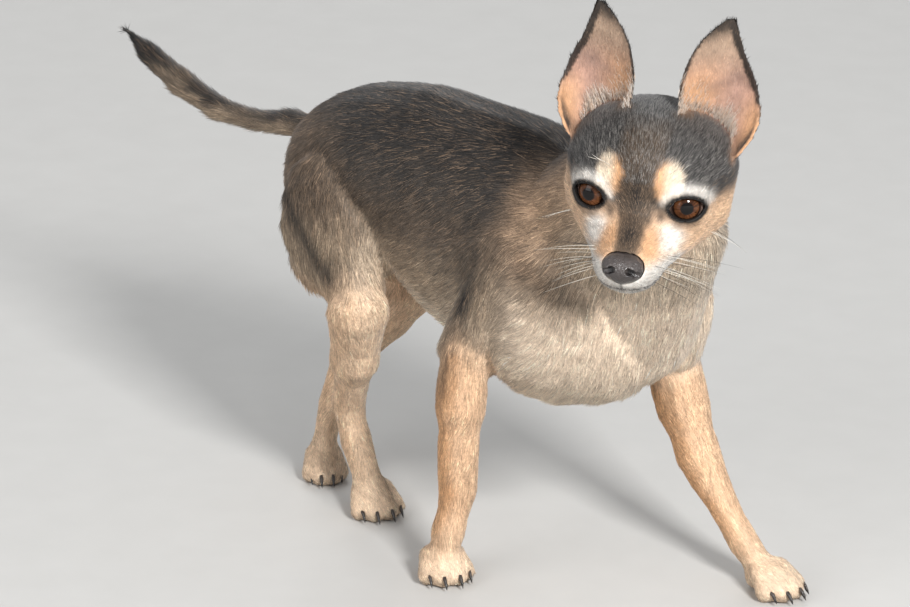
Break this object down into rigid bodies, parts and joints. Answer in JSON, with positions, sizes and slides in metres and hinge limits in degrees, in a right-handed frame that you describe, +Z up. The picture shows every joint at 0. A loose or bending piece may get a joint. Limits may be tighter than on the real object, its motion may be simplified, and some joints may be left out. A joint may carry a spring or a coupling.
{
  "type": "chihuahua figure",
  "caption": "Small short-coated dog at life size, stepping forward with raised tail, upright ears and head turned to its right.",
  "frame": {"origin": "centre of the bounding box on the ground under the paws", "axes": "+X forward along the body, +Y to the animal's left, +Z up"},
  "size_m": [0.3872, 0.1304, 0.2842],
  "materials": {
    "dark_coat": "short dark grizzled coat",
    "tan_coat": "short tan coat",
    "pale_coat": "short pale coat",
    "ear_skin": "thin skin with sparse short hair",
    "eye": "wet and glossy",
    "nose": "damp grained skin",
    "claw": "dull horn"
  },
  "bodies": {
    "root": {"torso": "dark_coat", "neck": "tan_coat", "head": "tan_coat", "nose": "nose", "eye_left": "eye", "ear_left": "ear_skin", "eye_right": "eye", "ear_right": "ear_skin", "tail_base": "dark_coat", "tail_middle": "dark_coat", "tail_tip": "dark_coat", "fore_right_upper_arm": "tan_coat", "fore_right_forearm": "tan_coat", "fore_right_paw": "pale_coat", "fore_right_claw_1": "claw", "fore_right_claw_2": "claw", "fore_right_claw_3": "claw", "fore_right_claw_4": "claw", "fore_left_upper_arm": "tan_coat", "fore_left_forearm": "tan_coat", "fore_left_paw": "pale_coat", "fore_left_claw_1": "claw", "fore_left_claw_2": "claw", "fore_left_claw_3": "claw", "fore_left_claw_4": "claw", "hind_right_thigh": "tan_coat", "hind_right_shank": "tan_coat", "hind_right_paw": "pale_coat", "hind_right_claw_1": "claw", "hind_right_claw_2": "claw", "hind_right_claw_3": "claw", "hind_right_claw_4": "claw", "hind_left_thigh": "tan_coat", "hind_left_shank": "tan_coat", "hind_left_paw": "pale_coat", "hind_left_claw_1": "claw", "hind_left_claw_2": "claw", "hind_left_claw_3": "claw", "hind_left_claw_4": "claw"}
  },
  "joints": []
}
